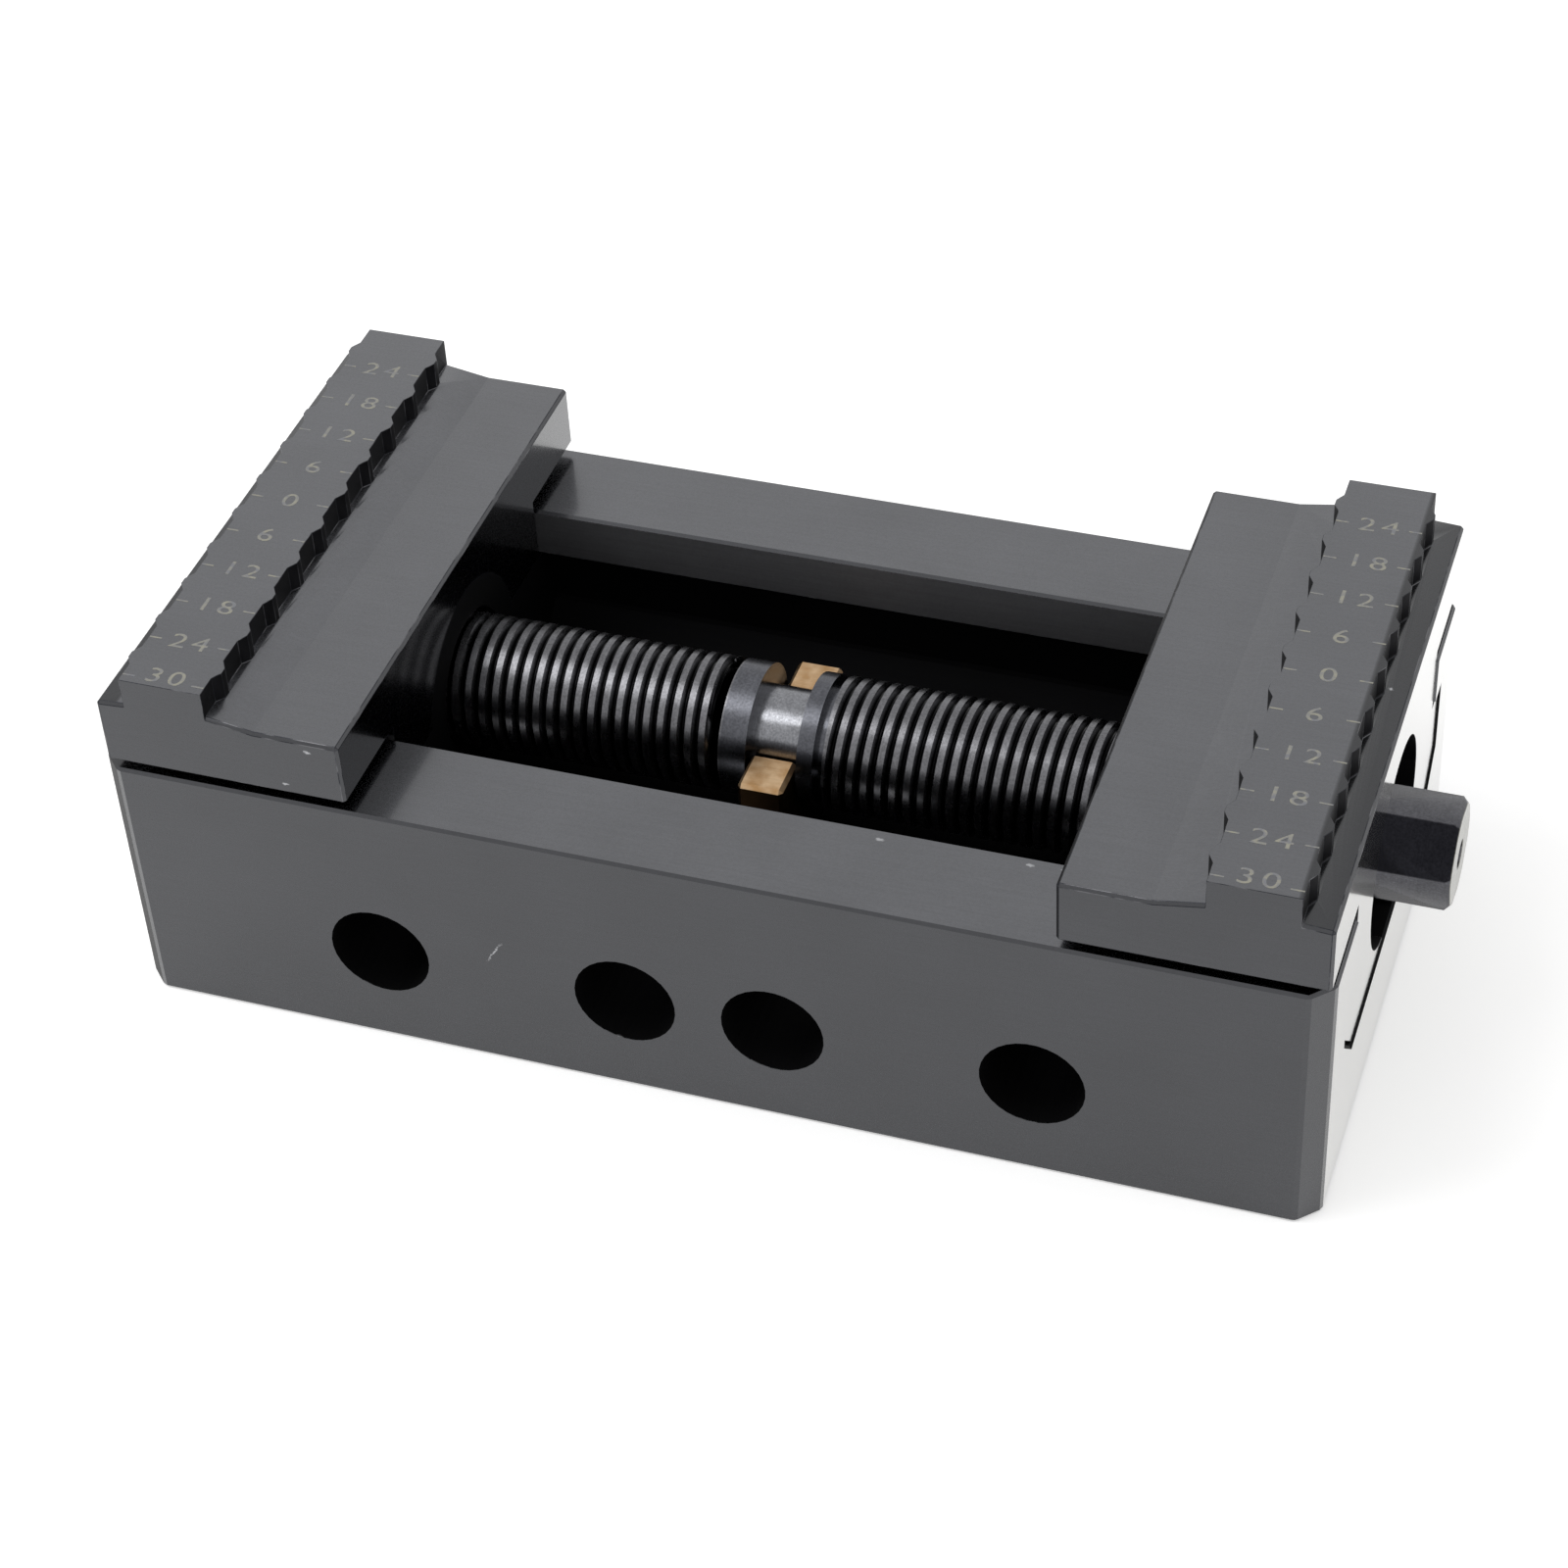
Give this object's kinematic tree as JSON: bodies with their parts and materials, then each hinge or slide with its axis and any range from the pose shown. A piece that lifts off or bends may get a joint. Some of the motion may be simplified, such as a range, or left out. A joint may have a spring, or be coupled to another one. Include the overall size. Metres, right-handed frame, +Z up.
{
  "type": "self-centering vise",
  "caption": "Low self-centering vise: a channelled steel body, two toothed ridge jaws on T-tongues, and a left/right-hand spindle with a hexagonal drive end in a bronze yoke.",
  "frame": {"origin": "centre of the body's underside", "axes": "+X along the spindle towards its hexagonal drive end, +Y across the rails away from the front side, +Z up through the jaws"},
  "size_m": [0.1309, 0.062, 0.0422],
  "materials": {
    "black_steel": "ground tool steel, satin black oxide",
    "spindle_steel": "turned steel, black oxide, oiled",
    "screw_steel": "hardened steel, black oxide",
    "bronze": "machined bearing bronze"
  },
  "bodies": {
    "base": {"body": "black_steel", "centre_yoke": "bronze", "front_yoke_screw": "screw_steel", "rear_yoke_screw": "screw_steel", "left_location_bush": "screw_steel", "right_location_bush": "screw_steel"},
    "spindle": {"spindle": "spindle_steel"},
    "left_jaw": {"left_jaw": "black_steel", "left_nut": "bronze", "left_nut_screw": "screw_steel"},
    "right_jaw": {"right_jaw": "black_steel", "right_nut": "bronze", "right_nut_screw": "screw_steel"}
  },
  "joints": [
    {"name": "spindle_turn", "type": "hinge", "parent": "base", "child": "spindle", "pos_m": [0, 0, 0.0227], "axis": [-1, 0, 0], "range_deg": [0, 7560]},
    {"name": "left_jaw_slide", "type": "slide", "parent": "base", "child": "left_jaw", "axis": [1, 0, 0], "range_m": [0, 0.0315]},
    {"name": "right_jaw_slide", "type": "slide", "parent": "base", "child": "right_jaw", "axis": [-1, 0, 0], "range_m": [0, 0.0315]}
  ],
  "couplings": [
    {"joint": "spindle_turn", "follows": "left_jaw_slide", "rad_per_m": 4188.8},
    {"joint": "right_jaw_slide", "follows": "left_jaw_slide", "ratio": 1}
  ]
}
